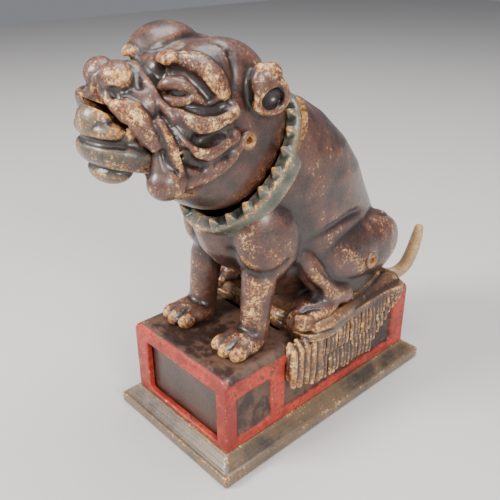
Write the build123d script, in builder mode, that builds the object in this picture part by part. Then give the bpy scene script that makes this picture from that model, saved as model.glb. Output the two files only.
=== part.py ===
from build123d import *
import os
from math import atan2, cos, degrees, hypot, radians, sin

# Cast-iron mechanical coin bank: a bulldog sits on a box pedestal. Pulling the tail tips the
# head forward and opens the lower jaw. Millimetres, +Z up, nose towards -Y, left side +X.

# ---- driving dimensions ----
wall = 3.2
base_length, base_width, base_edge = 144.6, 82.0, 5.8
pedestal_length, pedestal_width = 130.3, 67.7
foot_z, deck_z = 11.0, 49.2
side_x, end_y = pedestal_width / 2, pedestal_length / 2

neck = (-42.0, 147.0)                  # (y, z) of the axis that the head nods about
jaw_hinge = (-60.0, 142.0)
jaw_guide = (-49.2, 145.0)
haunch = (30.5, 73.5)                  # axis of the tail lever
head_link = (-41.0, 125.0)
tail_link = (22.0, 101.0)
pin_radius, pin_bore, thin_radius = 3.0, 1.3, 1.5
running = 0.06

collar_centre, collar_tilt = (-24.5, 132.7), radians(48)
collar_outer, collar_inner = (37.5, 30.5), (31.5, 24.3)
collar_front, collar_back = 2.0, -7.0

lug_low, lug_high, lug_width = 14.3, 17.3, 12.0
lever_low, lever_high = -8.6, -5.6
rod_low, rod_high = -12.0, -9.2
spring_y, spring_low, spring_high = 4.0, 14.0, 67.3
trap_y, trap_radius = 28.0, 16.0
post_x, post_y, post_radius, screw_radius = 26.0, 55.4, 4.5, 1.9
eye_centre, eye_radius, eye_play = (17.8, -68.5, 169.6), 4.6, 0.03
window_low, window_high = (-24.5, 13.5), (27.0, 41.0)
rug_front, rug_back, rug_rise, rug_drop, rug_low = -18.0, 59.5, 3.2, 2.8, 20.5

collar_plane = Plane(
    origin=(0, *collar_centre),
    x_dir=(0, cos(collar_tilt), sin(collar_tilt)),
    z_dir=(0, -sin(collar_tilt), cos(collar_tilt)),
)

# Level sections of the trunk from the deck to the neck: height, middle y, half length, half width
trunk_sections = [
    (44, 27, 36, 29.5),
    (58, 27, 38, 31),
    (76, 18.5, 46.5, 31),
    (90, 8.5, 52.5, 30),
    (104, 2, 51, 29.5),
    (118, -2.5, 48, 29),
    (132, -9, 43, 28.5),
    (146, -20, 38, 27.5),
    (154, -28, 33, 26),
]
# Outline of the hollow between the jowls where the lower jaw works, as (y, z)
jaw_bay = [
    (-110, 171), (-94, 167.5), (-84, 162), (-75, 154), (-66, 149.5), (-51, 149.5),
    (-51, 137), (-58, 131), (-64, 128.5), (-66, 118), (-110, 118),
]


# ---- shared shapes ----
def ellipsoid(centre, radii):
    """A closed egg with the given centre and half-axes."""
    with BuildPart(mode=Mode.PRIVATE) as egg:
        Sphere(1)
        scale(by=radii)
    return egg.part.moved(Location(centre))


def pair_of_eggs(centre, radii):
    """The same egg on both sides of the middle plane."""
    egg = ellipsoid(centre, radii)
    return [egg, mirror(egg, about=Plane.YZ)]


def bar_x(middle, radius, low, high):
    """A round bar along X through the (y, z) point, from x = low to x = high."""
    with BuildPart(mode=Mode.PRIVATE) as bar:
        with BuildSketch(Plane.YZ.offset(low)):
            with Locations(middle):
                Circle(radius)
        extrude(amount=high - low)
    return bar.part


def strap_x(start, end, width, low, high):
    """A flat link with round ends centred on two (y, z) points."""
    run = (end[0] - start[0], end[1] - start[1])
    with BuildPart(mode=Mode.PRIVATE) as strap:
        with BuildSketch(Plane.YZ.offset(low)):
            with Locations(((start[0] + end[0]) / 2, (start[1] + end[1]) / 2)):
                SlotCenterToCenter(hypot(*run), width, rotation=degrees(atan2(run[1], run[0])))
        extrude(amount=high - low)
    return strap.part


def plate_x(outline, low, high):
    """A flat plate with a straight-sided (y, z) outline."""
    with BuildPart(mode=Mode.PRIVATE) as plate:
        with BuildSketch(Plane.YZ.offset(low)):
            with BuildLine():
                Polyline(*outline, close=True)
            make_face()
        extrude(amount=high - low)
    return plate.part


def block(low, high):
    """A box between two opposite corners."""
    size = [high[i] - low[i] for i in range(3)]
    middle = tuple((high[i] + low[i]) / 2 for i in range(3))
    with BuildPart(mode=Mode.PRIVATE) as box:
        with Locations(middle):
            Box(*size)
    return box.part


def round_post(x, y, low, high, radius):
    """An upright round bar."""
    with BuildPart(mode=Mode.PRIVATE) as post:
        with BuildSketch(Plane.XY.offset(low)):
            with Locations((x, y)):
                Circle(radius)
        extrude(amount=high - low)
    return post.part


def write(piece, name):
    """Label a finished piece and save it as its own STEP file."""
    piece.label = name
    export_step(piece, f"parts/{name}.step")


def halves(whole, name):
    """Split a casting at the middle plane and save its two halves."""
    for side, keep in (("left", Keep.TOP), ("right", Keep.BOTTOM)):
        with BuildPart(mode=Mode.PRIVATE) as half:
            add(whole)
            split(bisect_by=Plane.YZ, keep=keep)
        write(half.part, f"{name}_{side}")


os.makedirs("parts", exist_ok=True)


# ---- trunk: smooth barrel through the level sections, cut off by the collar plane ----
def trunk(inset):
    """The trunk's outer skin, or its hollow when inset by the wall."""
    with BuildPart(mode=Mode.PRIVATE) as barrel:
        for height, middle, half_length, half_width in trunk_sections:
            with BuildSketch(Plane.XY.offset(height)):
                with Locations((0, middle)):
                    Ellipse(half_width - inset, half_length - inset)
        loft()
        with BuildSketch(collar_plane.offset(-1)):
            Rectangle(200, 200)
        extrude(amount=90, mode=Mode.SUBTRACT)
    return barrel.part


def leg(side):
    """A front leg: tapered limb from the shoulder down to a round paw with toes."""
    limb_sections = [(96, 17.5, -27, 9.5), (80, 18, -30, 8.5), (62, 18.5, -33, 7.2), (51, 18.5, -36, 8)]
    with BuildPart(mode=Mode.PRIVATE) as limb:
        for height, x, y, radius in limb_sections:
            with BuildSketch(Plane.XY.offset(height)):
                with Locations((side * x, y)):
                    Circle(radius)
        loft()
        add(ellipsoid((side * 18.5, -42, 50.5), (10, 12.5, 6.5)))
        for toe in (-6, 0, 6):
            add(ellipsoid((side * 18.5 + toe, -50, 51), (3.4, 5.5, 4)))
    return limb.part


# ---- pedestal: open-bottomed box with sunk side panels and a front window ----
with BuildPart() as pedestal:
    with BuildSketch(Plane.XY.offset(foot_z)):
        Rectangle(pedestal_width, pedestal_length)
    extrude(amount=deck_z - foot_z)
    long_top_edges = pedestal.edges().filter_by(Axis.Y).group_by(Axis.Z)[-1]
    fillet(long_top_edges, 4.5)
    for side in (1, -1):
        outer_face = Plane(origin=(side * side_x, 0, 0), x_dir=(0, 1, 0), z_dir=(side, 0, 0))
        with BuildSketch(outer_face):
            flip = 1 if side > 0 else -1
            for near, far in ((-58.7, -37.7), (-29.0, 54.0)):
                with Locations(((near + far) / 2, flip * 26.5)):
                    RectangleRounded(far - near, 23.0, 2.5)
        extrude(amount=-1.4, mode=Mode.SUBTRACT)

# ---- dog and pedestal as one casting ----
rug_x = side_x + rug_drop
with BuildPart() as rug:
    add(block((-rug_x, rug_front, deck_z - 2), (rug_x, rug_back, deck_z + rug_rise)))
    add(block((-rug_x, -28.5, rug_low), (rug_x, rug_back - 2, deck_z + rug_rise - 0.6)))
    fillet(rug.edges().filter_by(Axis.Y).group_by(Axis.Z)[-1], 2.4)

with BuildPart() as collar:
    with BuildSketch(collar_plane.offset(collar_back)):
        Ellipse(*collar_outer)
    extrude(amount=collar_front - collar_back)
    fillet(collar.edges().sort_by(SortBy.LENGTH)[-1:], 1.2)
    stud_turns = [28 + 23 * step for step in range(6)]
    with BuildSketch(collar_plane.offset(collar_front - 0.5)):
        for turn in stud_turns:
            for side in (1, -1):
                along = 34.5 * cos(radians(turn + 12))
                across = side * 27.4 * sin(radians(turn + 12))
                with Locations((along, across)):
                    Circle(2.3)
    extrude(amount=3.2, taper=28)

with BuildPart() as casting:
    add(trunk(0))
    add(collar.part)
    for egg in pair_of_eggs((18, -23, 99), (13.5, 17, 22)) + pair_of_eggs((21, 24, 77), (14, 33, 19)):
        add(egg)
    for egg in pair_of_eggs((24, 4, 56), (13.5, 21, 10)):
        add(egg)
    for side in (1, -1):
        add(leg(side))
    add(rug.part)
    add(pedestal.part)
    # hollows: trunk, pedestal and the neck opening inside the collar
    add(trunk(wall), mode=Mode.SUBTRACT)
    add(
        block(
            (-side_x + wall, -end_y + wall, foot_z - 1),
            (side_x - wall, end_y - wall, deck_z - wall),
        ),
        mode=Mode.SUBTRACT,
    )
    with BuildSketch(collar_plane.offset(-14)):
        Ellipse(*collar_inner)
    extrude(amount=40, mode=Mode.SUBTRACT)
    # window at the front and slot for the tail at the back
    add(
        block((window_low[0], -end_y - 1, window_low[1]), (window_high[0], -end_y + 6, window_high[1])),
        mode=Mode.SUBTRACT,
    )
    add(block((-5.2, 50, 26.5), (8.2, 75, 54.5)), mode=Mode.SUBTRACT)
    # screw posts in the four corners
    for x in (-post_x, post_x):
        for y in (-post_y, post_y):
            add(round_post(x, y, wall, deck_z - wall + 1, post_radius))
            add(round_post(x, y, wall - 1, 32, screw_radius), mode=Mode.SUBTRACT)
    # bearings of the haunch pin
    for side in (1, -1):
        low, high = sorted((side * 24, side * 33.6))
        add(bar_x(haunch, 6.5, low, high))
    add(bar_x(haunch, pin_radius, -40, 40), mode=Mode.SUBTRACT)
    # lugs that carry the neck pin inside the hollow neck of the head
    reach = [(neck[0] + step * sin(collar_tilt), neck[1] - step * cos(collar_tilt)) for step in (0, 38)]
    web = [(neck[0] + step * sin(collar_tilt), neck[1] - step * cos(collar_tilt)) for step in (33.5, 38)]
    for side in (1, -1):
        low, high = sorted((side * lug_low, side * lug_high))
        add(strap_x(*reach, lug_width, low, high))
        low, high = sorted((side * lug_low, side * 26.5))
        add(strap_x(*web, 8.0, low, high))
    add(bar_x(neck, pin_radius + running, -20, 20), mode=Mode.SUBTRACT)
    add(bar_x(jaw_guide, thin_radius, lug_low - 1, lug_high + 1), mode=Mode.SUBTRACT)
halves(casting.part, "body")

# ---- base plate: tray with a stepped rim, spring post, screw holes and the coin trap ----
with BuildPart() as base_plate:
    for grow, low, high in ((0, 0, base_edge), (-5.6, base_edge, 7.8), (-9.8, 7.8, foot_z)):
        with BuildSketch(Plane.XY.offset(low)):
            Rectangle(base_width + grow, base_length + grow)
        extrude(amount=high - low, taper=12 if low else 0)
    add(
        block((-side_x + wall, -end_y + wall, wall), (side_x - wall, end_y - wall, foot_z + 1)),
        mode=Mode.SUBTRACT,
    )
    with BuildSketch(Plane.XY):
        with Locations((0, trap_y)):
            Circle(trap_radius)
            Rectangle(8.8, 39.2)
    extrude(amount=wall, mode=Mode.SUBTRACT)
    with BuildSketch(Plane.XY):
        with Locations((0, trap_y)):
            Circle(trap_radius + 2)
    extrude(amount=1.6, mode=Mode.SUBTRACT)
    add(round_post(0, spring_y - 2.1, wall, spring_low + 1.2, 1.5))
    for x in (-post_x, post_x):
        for y in (-post_y, post_y):
            add(round_post(x, y, -1, wall + 1, screw_radius), mode=Mode.SUBTRACT)
            add(round_post(x, y, -1, 1.8, screw_radius + 1.9), mode=Mode.SUBTRACT)
write(base_plate.part, "base_plate")

for number, (x, y) in enumerate([(i * post_x, j * post_y) for i in (-1, 1) for j in (-1, 1)], 1):
    with BuildPart() as screw:
        add(round_post(x, y, 0.3, 1.8, screw_radius + 1.7))
        add(round_post(x, y, 1.8, 24, screw_radius))
        add(block((x - 4, y - 0.5, 0), (x + 4, y + 0.5, 1.0)), mode=Mode.SUBTRACT)
    write(screw.part, f"base_screw_{number}")

# ---- front panel: loose brown plate trapped behind the window, a little askew ----
with BuildPart() as front_panel:
    lean = radians(1.2)
    panel_plane = Plane(
        origin=(0, -end_y + wall + 0.05, 24.6), x_dir=(cos(lean), 0, -sin(lean)), z_dir=(0, 1, 0)
    )
    with BuildSketch(panel_plane):
        Rectangle(58.0, 40.0)
    extrude(amount=1.9)
write(front_panel.part, "front_panel")

# ---- pins and the fixed jaw guide ----
with BuildPart() as haunch_pin:
    add(bar_x(haunch, pin_radius, -36.0, 36.0))
    add(bar_x(haunch, pin_bore, -37, 37), mode=Mode.SUBTRACT)
write(haunch_pin.part, "haunch_pin")

with BuildPart() as jaw_stud:
    add(bar_x(jaw_guide, thin_radius, 9.4, lug_high))
write(jaw_stud.part, "jaw_stud")

# ---- return spring: hooked coil between the base post and the tail lever ----
coil_radius, coil_wire, coil_pitch, coil_low, coil_high = 4.0, 0.6, 2.4, 24.0, 57.6
with BuildPart() as return_spring:
    with BuildLine():
        turns = Helix(coil_pitch, coil_high - coil_low, coil_radius, center=(0, spring_y, coil_low))
    with BuildSketch(Plane(origin=turns @ 0, z_dir=turns % 0)):
        Circle(coil_wire)
    sweep(is_frenet=True)
    for low, high in ((spring_low, coil_low), (coil_high, spring_high)):
        add(round_post(0, spring_y, low, high, coil_wire))
    for height in (coil_low, coil_high):
        add(block((-0.5, spring_y - 0.6, height - 0.6), (coil_radius, spring_y + 0.6, height + 0.6)))
write(return_spring.part, "return_spring")


# ---- head: skull, muzzle, jowls and a round neck, hollow inside ----
def neck_ball(inset):
    """Round neck turned about the head's axis, or its hollow when inset by the wall."""
    half_width, radius, corner = 23.0 - inset, 32.5 - inset, 15.0 - inset
    with BuildPart(mode=Mode.PRIVATE) as ball:
        with BuildSketch(Plane(origin=(0, *neck), x_dir=(1, 0, 0), z_dir=(0, 1, 0))):
            with BuildLine():
                Line((-half_width, 0), (half_width, 0))
                Line((half_width, 0), (half_width, -(radius - corner)))
                RadiusArc((half_width, -(radius - corner)), (half_width - corner, -radius), corner)
                Line((half_width - corner, -radius), (corner - half_width, -radius))
                RadiusArc((corner - half_width, -radius), (-half_width, -(radius - corner)), corner)
                Line((-half_width, -(radius - corner)), (-half_width, 0))
            make_face()
        revolve(axis=Axis((0, *neck), (1, 0, 0)))
    return ball.part


# Sector of the neck's rim that stays open behind, for the lugs, the rod and the coin
rim_gap = [neck] + [
    (neck[0] + 60 * cos(radians(turn)), neck[1] + 60 * sin(radians(turn))) for turn in (-86, -54, -22)
]
with BuildPart() as skull:
    add(neck_ball(0))
    add(ellipsoid((0, -56, 163), (27, 30, 27)))
    add(ellipsoid((0, -78, 163), (22, 16, 14)))
    add(ellipsoid((0, -85, 174), (12, 8.5, 6.5)))
    for centre, radii in (
        ((9, -69, 178), (8, 8, 7)),
        ((17.5, -80, 150), (8.5, 13, 16)),
        ((19, -62, 151), (10, 16.5, 19)),
        ((25.5, -36, 165), (6, 9, 11)),
    ):
        for egg in pair_of_eggs(centre, radii):
            add(egg)
    for egg in pair_of_eggs((28.5, -73.5, 171), (8.5, 7, 6)):
        add(egg, mode=Mode.SUBTRACT)
    for side in (1, -1):
        with Locations((side * eye_centre[0], eye_centre[1], eye_centre[2])):
            Sphere(eye_radius, mode=Mode.SUBTRACT)
    add(neck_ball(wall), mode=Mode.SUBTRACT)
    add(ellipsoid((0, -54, 163), (23, 25, 23.8)), mode=Mode.SUBTRACT)
    add(plate_x(jaw_bay, -16.5, 16.5), mode=Mode.SUBTRACT)
    add(plate_x(rim_gap, -18.2, 18.2), mode=Mode.SUBTRACT)
    # inner walls around the eyes, and the stud for the link rod
    for side in (1, -1):
        with Locations((side * (eye_centre[0] - 2), eye_centre[1] + 1, eye_centre[2])):
            Sphere(eye_radius + 2.4)
        with Locations((side * eye_centre[0], eye_centre[1], eye_centre[2])):
            Sphere(eye_radius, mode=Mode.SUBTRACT)
    add(bar_x(head_link, 1.8, -21.5, -8.4))
    add(bar_x(neck, pin_radius, -30, 30), mode=Mode.SUBTRACT)
    add(bar_x(jaw_hinge, thin_radius, -24.5, 24.5), mode=Mode.SUBTRACT)
halves(skull.part, "head")

for side, name in ((1, "left"), (-1, "right")):
    with BuildPart() as eye:
        with Locations((side * eye_centre[0], eye_centre[1], eye_centre[2])):
            Sphere(eye_radius - eye_play)
    write(eye.part, f"glass_eye_{name}")

with BuildPart() as neck_pin:
    add(bar_x(neck, pin_radius, -25.5, 25.5))
    add(bar_x(neck, pin_bore, -27, 27), mode=Mode.SUBTRACT)
write(neck_pin.part, "neck_pin")

with BuildPart() as jaw_pin:
    add(bar_x(jaw_hinge, thin_radius, -24.5, 24.5))
write(jaw_pin.part, "jaw_pin")

# ---- lower jaw: two lobes, scooped on top, with side arms and the slotted guide arm ----
jaw_clear = [(-112, 169.3), (-94.6, 166.6), (-84.6, 161.2), (-75.6, 153.2), (-66, 147), (-52, 147)]
with BuildPart() as lower_jaw:
    add(ellipsoid((0, -90, 159.5), (15, 9, 9)))
    add(ellipsoid((0, -84.5, 147.5), (14.6, 12, 11.8)))
    for side in (1, -1):
        low, high = sorted((side * 11.8, side * 15.8))
        add(strap_x((-80, 149), jaw_hinge, 9.6, low, high))
    add(ellipsoid((0, -80, 158), (10.5, 11.5, 12)), mode=Mode.SUBTRACT)
    add(plate_x([*jaw_clear, (-52, 190), (-112, 190)], -20, 20), mode=Mode.SUBTRACT)
    add(strap_x(jaw_hinge, jaw_guide, 6.4, 10.0, 13.0))
    far = (jaw_guide[0] + 1.1, jaw_guide[1] + 0.31)
    near = (jaw_guide[0] - 0.3, jaw_guide[1] - 0.08)
    add(strap_x(near, far, 2 * (thin_radius + 0.2), 9, 14), mode=Mode.SUBTRACT)
    add(bar_x(jaw_hinge, thin_radius + running, -20, 20), mode=Mode.SUBTRACT)
write(lower_jaw.part, "lower_jaw")

# ---- tail lever: hub on the haunch pin, upper arm, spring arm and the curled tail ----
with BuildPart() as tail_lever:
    add(bar_x(haunch, 6.0, lever_low, 7.0))
    add(strap_x(haunch, tail_link, 8.0, lever_low, lever_high))
    add(strap_x(haunch, (spring_y, spring_high + 2.7), 5.0, -2.0, 2.0))
    add(strap_x(haunch, (56, 51), 8.0, -2.5, 2.5))
    with BuildLine():
        tail_curve = Spline(
            (0.2, 52, 54), (1, 62, 47.5), (3, 75, 43.5), (9, 87, 45), (14, 95.5, 53), (15.5, 100, 63.5)
        )
    tail_steps = 9
    for step in range(tail_steps + 1):
        place = step / tail_steps
        with BuildSketch(Plane(origin=tail_curve @ place, z_dir=tail_curve % place)):
            Circle(3.9 - 1.1 * place)
    loft()
    with Locations(tail_curve @ 1):
        Sphere(2.8)
    add(bar_x(haunch, pin_radius + running, -20, 20), mode=Mode.SUBTRACT)
    add(bar_x(tail_link, thin_radius, -20, 0), mode=Mode.SUBTRACT)
write(tail_lever.part, "tail_lever")

with BuildPart() as link_pin:
    add(bar_x(tail_link, thin_radius, rod_low - 1.0, lever_high))
write(link_pin.part, "link_pin")

# The rod turns on the link pin; its far eye is loose on the stud inside the head
with BuildPart() as link_rod:
    add(strap_x(tail_link, head_link, 5.0, rod_low, rod_high))
    for end in (tail_link, head_link):
        add(bar_x(end, 4.4, rod_low, rod_high))
    add(bar_x(tail_link, thin_radius + running, -20, 0), mode=Mode.SUBTRACT)
    add(bar_x(head_link, 2.4, -20, 0), mode=Mode.SUBTRACT)
write(link_rod.part, "link_rod")

# ---- coin trap: flanged cover, locking bar and rivet that turn together ----
with BuildPart() as trap_cover:
    add(round_post(0, trap_y, 0.3, 1.5, trap_radius + 1.7))
    add(round_post(0, trap_y, 1.5, 3.0, trap_radius - 0.3))
    add(round_post(0, trap_y, 0, 4, 2.0), mode=Mode.SUBTRACT)
    add(block((-8, trap_y - 7.2, 0), (8, trap_y - 5.2, 1.3)), mode=Mode.SUBTRACT)
write(trap_cover.part, "trap_cover")

with BuildPart() as trap_bar:
    with BuildSketch(Plane.XY.offset(wall + 0.15)):
        with Locations((0, trap_y)):
            SlotOverall(38.4, 8.0)
    extrude(amount=1.8)
    with BuildSketch(Plane.XY.offset(3.0)):
        with Locations((0, trap_y)):
            Circle(4.0)
    extrude(amount=0.4)
    add(round_post(0, trap_y, 0, 8, 2.0), mode=Mode.SUBTRACT)
write(trap_bar.part, "trap_bar")

with BuildPart() as trap_rivet:
    add(round_post(0, trap_y, 0.4, wall + 1.95, 2.0))
    add(round_post(0, trap_y, wall + 1.95, wall + 3.2, 3.6))
write(trap_rivet.part, "trap_rivet")
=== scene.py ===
import math
import random

import bpy
import numpy as np
from mathutils import Matrix, Vector


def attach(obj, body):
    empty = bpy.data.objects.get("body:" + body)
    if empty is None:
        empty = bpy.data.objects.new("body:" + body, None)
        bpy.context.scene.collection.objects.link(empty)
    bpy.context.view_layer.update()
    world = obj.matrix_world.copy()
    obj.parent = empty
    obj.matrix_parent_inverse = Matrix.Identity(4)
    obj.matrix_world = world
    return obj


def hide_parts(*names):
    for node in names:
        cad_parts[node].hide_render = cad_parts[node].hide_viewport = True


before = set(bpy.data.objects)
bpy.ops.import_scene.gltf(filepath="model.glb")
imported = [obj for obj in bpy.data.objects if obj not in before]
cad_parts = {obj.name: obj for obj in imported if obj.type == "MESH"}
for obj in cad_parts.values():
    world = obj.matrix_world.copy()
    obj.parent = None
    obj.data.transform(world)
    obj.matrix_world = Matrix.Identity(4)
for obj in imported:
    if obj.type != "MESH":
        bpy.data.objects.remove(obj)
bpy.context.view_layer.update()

# The bank stands on a plain pale table top under two soft window-like lamps and a wide one
# overhead. Sizes here are metres.
floor_reach, floor_bend = 1.6, 0.5
bpy.ops.object.select_all(action="DESELECT")
bpy.ops.mesh.primitive_plane_add(size=1, location=(0, floor_bend, 0))
table_top = bpy.context.object
table_top.name = "table_top"
table_top.scale = (2 * floor_reach, 2 * floor_reach, 1)
bpy.ops.object.transform_apply(location=True, scale=True)
bpy.ops.object.mode_set(mode="EDIT")
bpy.ops.mesh.select_all(action="SELECT")
bpy.ops.mesh.subdivide(number_cuts=3)
bpy.ops.object.mode_set(mode="OBJECT")
table_top.modifiers.new("smooth", "SUBSURF").levels = 2
table_top.modifiers["smooth"].render_levels = 2
table_paint = bpy.data.materials.new("pale_table")
table_paint.use_nodes = True
table_paint.node_tree.nodes["Principled BSDF"].inputs["Base Color"].default_value = (0.5, 0.49, 0.48, 1)
table_paint.node_tree.nodes["Principled BSDF"].inputs["Roughness"].default_value = 0.7
table_top.data.materials.append(table_paint)

look_azimuth, look_elevation, look_roll = math.radians(47.47), math.radians(26.45), math.radians(-0.39)
back = Vector((
    math.sin(look_azimuth) * math.cos(look_elevation),
    -math.cos(look_azimuth) * math.cos(look_elevation),
    math.sin(look_elevation),
))
across = Vector((0, 0, 1)).cross(back).normalized()
upward = back.cross(across)
turned = across * math.cos(look_roll) + upward * math.sin(look_roll)
risen = upward * math.cos(look_roll) - across * math.sin(look_roll)
bpy.ops.object.camera_add(location=(0.1965, -0.1997, 0.2168))
camera = bpy.context.object
camera.rotation_euler = Matrix((turned, risen, back)).transposed().to_euler()
camera.data.sensor_width = 36
camera.data.lens = 45.62
camera.data.clip_start = 0.01
bpy.context.scene.camera = camera

for name, place, size, watts, tint in (
    ("window_lamp", (-0.35, -0.8, 0.7), 0.35, 20, (1, 0.97, 0.93)),
    ("side_lamp", (0.9, -0.25, 0.55), 0.35, 12, (1, 0.95, 0.9)),
    ("overhead_lamp", (0.05, 0.15, 1.05), 0.7, 14, (1, 1, 1)),
):
    aim = (Vector(place) - Vector((0, 0, 0.1))).to_track_quat("Z", "Y").to_euler()
    bpy.ops.object.light_add(type="AREA", location=place, rotation=aim)
    lamp = bpy.context.object
    lamp.name = name
    lamp.data.size = size
    lamp.data.energy = watts
    lamp.data.color = tint
world = bpy.data.worlds.new("room")
world.use_nodes = True
world.node_tree.nodes["Background"].inputs["Color"].default_value = (0.9, 0.92, 1, 1)
world.node_tree.nodes["Background"].inputs["Strength"].default_value = 0.26
bpy.context.scene.world = world

# The trunk and legs are the bigger of the two kinds of casting: hollow grey iron, poured in a
# left and a right half that meet down the middle. The pattern maker's clay is built up here
# from rounded lumps, fused into one skin, tooled along lines and then cut into its two halves.
MM = 0.001


def only(*things):
    """Selects these objects alone and makes the first one active."""
    bpy.ops.object.select_all(action="DESELECT")
    for thing in things:
        thing.select_set(True)
    bpy.context.view_layer.objects.active = things[0]


def egg(centre, radii, turn=(0, 0, 0), pair=False):
    """A rounded lump, or a pair of them either side of the middle; millimetres and degrees."""
    lumps = []
    for side in (1, -1) if pair else (1,):
        bpy.ops.object.select_all(action="DESELECT")
        bpy.ops.mesh.primitive_ico_sphere_add(
            subdivisions=4, radius=MM,
            location=(side * centre[0] * MM, centre[1] * MM, centre[2] * MM),
            rotation=[math.radians(a) for a in (turn[0], side * turn[1], side * turn[2])],
        )
        lump = bpy.context.object
        lump.scale = radii
        lumps.append(lump)
    return lumps


def rope(path, pair=False):
    """A tapered roll through (x, y, z, radius) points: a ball at each and a cone between them."""
    lumps = []
    for side in (1, -1) if pair else (1,):
        ends = [(Vector((side * x, y, z)) * MM, r * MM) for x, y, z, r in path]
        for place, radius in ends:
            bpy.ops.object.select_all(action="DESELECT")
            bpy.ops.mesh.primitive_ico_sphere_add(subdivisions=3, radius=radius, location=place)
            lumps.append(bpy.context.object)
        for (start, wide), (stop, narrow) in zip(ends, ends[1:]):
            run = stop - start
            bpy.ops.object.select_all(action="DESELECT")
            bpy.ops.mesh.primitive_cone_add(
                vertices=32, radius1=wide, radius2=narrow, depth=run.length,
                location=(start + stop) / 2, rotation=run.to_track_quat("Z", "Y").to_euler(),
            )
            lumps.append(bpy.context.object)
    return lumps


def block(low, high, bevel=0.0):
    """A box between two corners, with its edges rounded by bevel."""
    bpy.ops.object.select_all(action="DESELECT")
    bpy.ops.mesh.primitive_cube_add(size=1, location=[(a + b) / 2 * MM for a, b in zip(low, high)])
    box = bpy.context.object
    box.scale = [(b - a) * MM for a, b in zip(low, high)]
    bpy.ops.object.transform_apply(location=True, rotation=True, scale=True)
    if bevel:
        bpy.ops.object.mode_set(mode="EDIT")
        bpy.ops.mesh.select_all(action="SELECT")
        bpy.ops.mesh.bevel(offset=bevel * MM, segments=3, affect="EDGES")
        bpy.ops.object.mode_set(mode="OBJECT")
    return box


def bar(middle, radius, low, high):
    """A round bar along X through the (y, z) point."""
    bpy.ops.object.select_all(action="DESELECT")
    bpy.ops.mesh.primitive_cylinder_add(
        vertices=48, radius=radius * MM, depth=(high - low) * MM, rotation=(0, math.pi / 2, 0),
        location=((low + high) / 2 * MM, middle[0] * MM, middle[1] * MM),
    )
    return bpy.context.object


def slab(outline, low, high):
    """A plate across X with a (y, z) outline."""
    bpy.ops.object.select_all(action="DESELECT")
    bpy.ops.mesh.primitive_circle_add(vertices=len(outline), radius=MM, fill_type="NGON")
    plate = bpy.context.object
    for point, (y, z) in zip(plate.data.vertices, outline):
        point.co = Vector((low, y, z)) * MM
    bpy.ops.object.mode_set(mode="EDIT")
    bpy.ops.mesh.select_all(action="SELECT")
    bpy.ops.mesh.extrude_region_move(TRANSFORM_OT_translate={"value": ((high - low) * MM, 0, 0)})
    bpy.ops.mesh.select_all(action="SELECT")
    bpy.ops.mesh.normals_make_consistent(inside=False)
    bpy.ops.object.mode_set(mode="OBJECT")
    return plate


def barrel(rings):
    """A closed skin through level rings of (height, middle y, half length, half width)."""
    height, middle, long, wide = rings[0]
    bpy.ops.object.select_all(action="DESELECT")
    bpy.ops.mesh.primitive_circle_add(
        vertices=96, radius=MM, fill_type="NGON", location=(0, middle * MM, height * MM)
    )
    bpy.ops.object.mode_set(mode="EDIT")
    bpy.ops.mesh.select_all(action="SELECT")
    bpy.ops.transform.resize(value=(wide, long, 1), center_override=(0, middle * MM, height * MM))
    for z, y, half_length, half_width in rings[1:]:
        bpy.ops.mesh.extrude_region_move(
            TRANSFORM_OT_translate={"value": (0, (y - middle) * MM, (z - height) * MM)}
        )
        bpy.ops.transform.resize(
            value=(half_width / wide, half_length / long, 1), center_override=(0, y * MM, z * MM)
        )
        height, middle, long, wide = z, y, half_length, half_width
    bpy.ops.mesh.select_all(action="SELECT")
    bpy.ops.mesh.normals_make_consistent(inside=False)
    bpy.ops.object.mode_set(mode="OBJECT")
    return bpy.context.object


def finish_modifier(piece, kind, **settings):
    """Adds one modifier, sets it and applies it."""
    modifier = piece.modifiers.new(kind.lower(), kind)
    for key, value in settings.items():
        setattr(modifier, key, value)
    only(piece)
    bpy.ops.object.modifier_apply(modifier=modifier.name)


def fuse(name, lumps, grain, rounds):
    """Joins overlapping lumps into one even skin of grain millimetres and smooths the joints."""
    only(*lumps)
    bpy.ops.object.join()
    piece = bpy.context.object
    piece.name = name
    bpy.ops.object.transform_apply(location=True, rotation=True, scale=True)
    finish_modifier(piece, "REMESH", mode="VOXEL", voxel_size=grain * MM)
    finish_modifier(piece, "SMOOTH", factor=0.5, iterations=rounds)
    return piece


def cut(piece, cutters, operation="DIFFERENCE"):
    """Takes the cutters out of the piece, or adds or keeps them, and deletes them."""
    for cutter in cutters:
        only(cutter)
        bpy.ops.object.transform_apply(location=True, rotation=True, scale=True)
        finish_modifier(piece, "BOOLEAN", operation=operation, solver="MANIFOLD", object=cutter)
        bpy.data.objects.remove(cutter)


def points_of(piece):
    """The piece's points in millimetres and its outward normals, as arrays."""
    count = len(piece.data.vertices)
    places, normals = np.empty(count * 3), np.empty(count * 3)
    piece.data.vertices.foreach_get("co", places)
    piece.data.vertex_normals.foreach_get("vector", normals)
    return places.reshape(-1, 3) / MM, normals.reshape(-1, 3)


def put_points(piece, places):
    """Moves the piece's points."""
    piece.data.vertices.foreach_set("co", (places * MM).ravel())
    piece.data.update()


def curved(path, steps=6):
    """A smooth line through the points."""
    line = np.array(path, dtype=float)
    padded = np.vstack([2 * line[0] - line[1], line, 2 * line[-1] - line[-2]])
    out = []
    for a, b, c, d in zip(padded, padded[1:], padded[2:], padded[3:]):
        for t in np.arange(steps) / steps:
            squared, cubed = 2 * a - 5 * b + 4 * c - d, 3 * b - a - 3 * c + d
            out.append(0.5 * (2 * b + (c - a) * t + squared * t**2 + cubed * t**3))
    return np.array(out + [line[-1]])


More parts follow.
